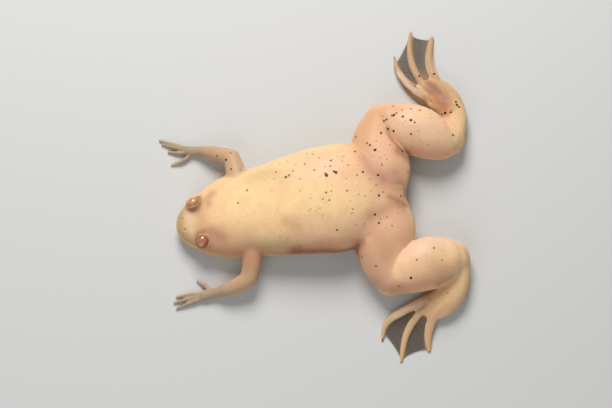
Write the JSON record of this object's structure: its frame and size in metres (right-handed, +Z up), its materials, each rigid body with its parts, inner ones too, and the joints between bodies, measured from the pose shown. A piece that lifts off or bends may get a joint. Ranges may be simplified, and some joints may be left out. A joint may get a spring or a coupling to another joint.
{
  "type": "african clawed frog",
  "caption": "Pale clawed frog lying flat on its belly with its hind legs folded and webbed feet spread, as a still life-size animal model.",
  "frame": {"origin": "on the floor, under the middle of the belly", "axes": "+X towards the rump, so the snout looks along -X; +Y the frog's right side; +Z up"},
  "size_m": [0.0993, 0.1083, 0.0174],
  "materials": {
    "skin": "wet, slightly translucent skin in cream and peach with grey-pink shade and black flecks",
    "eye": "wet gloss, copper-orange iris round a dark reddish pupil",
    "claw": "dull brown horn"
  },
  "bodies": {
    "root": {"head": "skin", "torso": "skin", "eye_right": "eye", "upper_arm_right": "skin", "forearm_right": "skin", "hand_right": "skin", "thigh_right": "skin", "shank_right": "skin", "tarsus_right": "skin", "foot_right": "skin", "claw_right_1": "claw", "claw_right_2": "claw", "claw_right_3": "claw", "eye_left": "eye", "upper_arm_left": "skin", "forearm_left": "skin", "hand_left": "skin", "thigh_left": "skin", "shank_left": "skin", "tarsus_left": "skin", "foot_left": "skin", "claw_left_1": "claw", "claw_left_2": "claw", "claw_left_3": "claw"}
  },
  "joints": []
}
